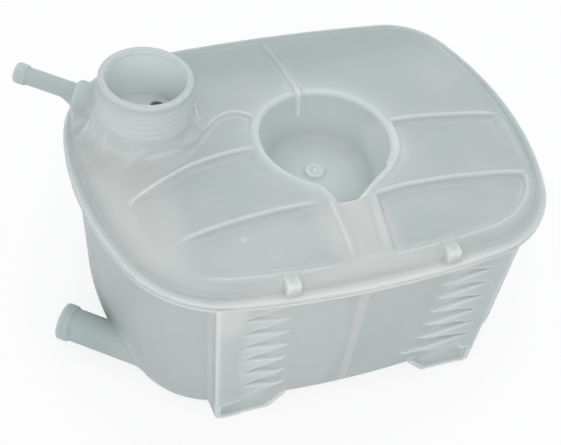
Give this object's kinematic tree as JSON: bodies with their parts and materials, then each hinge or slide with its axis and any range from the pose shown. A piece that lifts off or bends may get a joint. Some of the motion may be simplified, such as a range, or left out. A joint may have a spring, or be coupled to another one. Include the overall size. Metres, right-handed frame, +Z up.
{
  "type": "coolant expansion tank",
  "caption": "Translucent moulded coolant expansion tank with a threaded filler neck, a round well in its stepped top, a vent spigot and an outlet spigot.",
  "frame": {"origin": "middle of the flat floor, under the middle of the welding flange", "axes": "+Z up towards the filler neck's mouth, -Y towards the front wall with the two posts, +X to the right seen from the front"},
  "size_m": [0.2542, 0.183, 0.133],
  "materials": {
    "natural_polypropylene": "satin"
  },
  "bodies": {
    "root": {"upper_shell": "natural_polypropylene", "lower_shell": "natural_polypropylene"}
  },
  "joints": []
}
